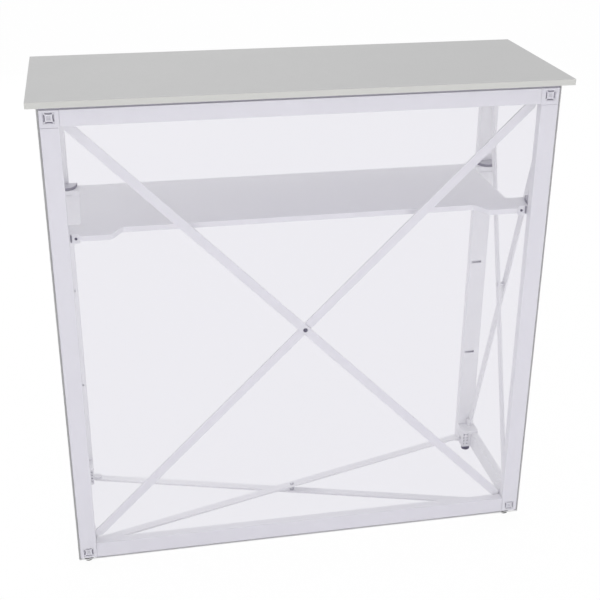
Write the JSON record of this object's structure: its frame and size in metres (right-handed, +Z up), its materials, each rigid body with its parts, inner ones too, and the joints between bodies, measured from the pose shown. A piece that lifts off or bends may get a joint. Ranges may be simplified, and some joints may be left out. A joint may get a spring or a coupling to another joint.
{
  "type": "exhibition counter",
  "caption": "Free-standing counter with a braced white frame, a lift-off grey top, an inner shelf, a stretched sheer front panel and screw-adjusted feet, open at the back.",
  "frame": {"origin": "centre of the counter's outline on the floor, under the four feet", "axes": "+Z up, -Y out of the front panel towards the visitor, +X to the right of someone who faces the front"},
  "size_m": [1.034, 0.3704, 1.0368],
  "materials": {
    "white_paint": "white powder coat, satin",
    "white_plastic": "moulded, satin",
    "grey_board": "pale grey laminate",
    "shelf_board": "pale grey laminate, slightly glossy",
    "steel": "zinc plated",
    "dark_steel": "blackened",
    "black_rubber": "matt",
    "grey_plastic": "moulded",
    "sheer_fabric": "sheer knitted panel, stretched",
    "strip_rubber": "silicone strip"
  },
  "bodies": {
    "frame": {"back_post_left": "white_paint", "back_post_right": "white_paint", "back_top_rail": "white_paint", "corner_plug_bottom_left": "white_plastic", "corner_plug_bottom_right": "white_plastic", "corner_plug_top_left": "white_plastic", "corner_plug_top_right": "white_plastic", "floor_brace_lower": "white_paint", "floor_brace_rivet": "steel", "floor_brace_upper": "white_paint", "front_bottom_rail": "white_paint", "front_brace_falling": "white_paint", "front_brace_rising": "white_paint", "front_brace_rivet": "dark_steel", "front_corner_left": "white_plastic", "front_corner_right": "white_plastic", "front_panel": "sheer_fabric", "front_post_left": "white_paint", "front_post_right": "white_paint", "front_top_rail": "white_paint", "hub_back_bottom_left": "white_plastic", "hub_back_bottom_right": "white_plastic", "hub_back_top_left": "white_plastic", "hub_back_top_right": "white_plastic", "hub_front_bottom_left": "white_plastic", "hub_front_bottom_right": "white_plastic", "hub_front_top_left": "white_plastic", "hub_front_top_right": "white_plastic", "left_brace_inner": "white_paint", "left_brace_outer": "white_paint", "left_brace_rivet": "steel", "panel_edge_strip": "strip_rubber", "right_brace_inner": "white_paint", "right_brace_outer": "white_paint", "right_brace_rivet": "steel", "shelf": "shelf_board", "shelf_clip_back_left": "grey_plastic", "shelf_clip_back_right": "grey_plastic", "shelf_clip_front_left": "white_plastic", "shelf_clip_front_right": "white_plastic", "shelf_screw_left": "dark_steel", "shelf_screw_right": "dark_steel", "side_bottom_rail_left": "white_paint", "side_bottom_rail_right": "white_paint", "side_top_rail_left": "white_paint", "side_top_rail_right": "white_paint"},
    "top": {"tabletop": "grey_board", "table_dowel_front_left": "steel", "table_dowel_front_right": "steel", "table_dowel_back_left": "steel", "table_dowel_back_right": "steel"},
    "front_left_foot": {"foot_pad_front_left": "black_rubber"},
    "front_left_screw": {"foot_stud_front_left": "steel"},
    "front_right_foot": {"foot_pad_front_right": "black_rubber"},
    "front_right_screw": {"foot_stud_front_right": "steel"},
    "back_left_foot": {"foot_pad_back_left": "black_rubber"},
    "back_left_screw": {"foot_stud_back_left": "steel"},
    "back_right_foot": {"foot_pad_back_right": "black_rubber"},
    "back_right_screw": {"foot_stud_back_right": "steel"}
  },
  "joints": [
    {"name": "top_lift", "type": "slide", "parent": "frame", "child": "top", "axis": [0, 0, 1], "range_m": [0, 0.05]},
    {"name": "front_left_foot_travel", "type": "slide", "parent": "frame", "child": "front_left_foot", "axis": [0, 0, -1], "range_m": [0, 0.01]},
    {"name": "front_left_screw_turn", "type": "hinge", "parent": "front_left_foot", "child": "front_left_screw", "pos_m": [-0.479, -0.12925, 0.0215], "axis": [0, 0, -1], "range_deg": [0, 2880]},
    {"name": "front_right_foot_travel", "type": "slide", "parent": "frame", "child": "front_right_foot", "axis": [0, 0, -1], "range_m": [0, 0.01]},
    {"name": "front_right_screw_turn", "type": "hinge", "parent": "front_right_foot", "child": "front_right_screw", "pos_m": [0.479, -0.12925, 0.0215], "axis": [0, 0, -1], "range_deg": [0, 2880]},
    {"name": "back_left_foot_travel", "type": "slide", "parent": "frame", "child": "back_left_foot", "axis": [0, 0, -1], "range_m": [0, 0.01]},
    {"name": "back_left_screw_turn", "type": "hinge", "parent": "back_left_foot", "child": "back_left_screw", "pos_m": [-0.479, 0.14975, 0.0215], "axis": [0, 0, -1], "range_deg": [0, 2880]},
    {"name": "back_right_foot_travel", "type": "slide", "parent": "frame", "child": "back_right_foot", "axis": [0, 0, -1], "range_m": [0, 0.01]},
    {"name": "back_right_screw_turn", "type": "hinge", "parent": "back_right_foot", "child": "back_right_screw", "pos_m": [0.479, 0.14975, 0.0215], "axis": [0, 0, -1], "range_deg": [0, 2880]}
  ],
  "couplings": [
    {"joint": "front_left_foot_travel", "follows": "front_left_screw_turn", "m_per_rad": 0.00019894},
    {"joint": "front_right_foot_travel", "follows": "front_right_screw_turn", "m_per_rad": 0.00019894},
    {"joint": "back_left_foot_travel", "follows": "back_left_screw_turn", "m_per_rad": 0.00019894},
    {"joint": "back_right_foot_travel", "follows": "back_right_screw_turn", "m_per_rad": 0.00019894}
  ]
}
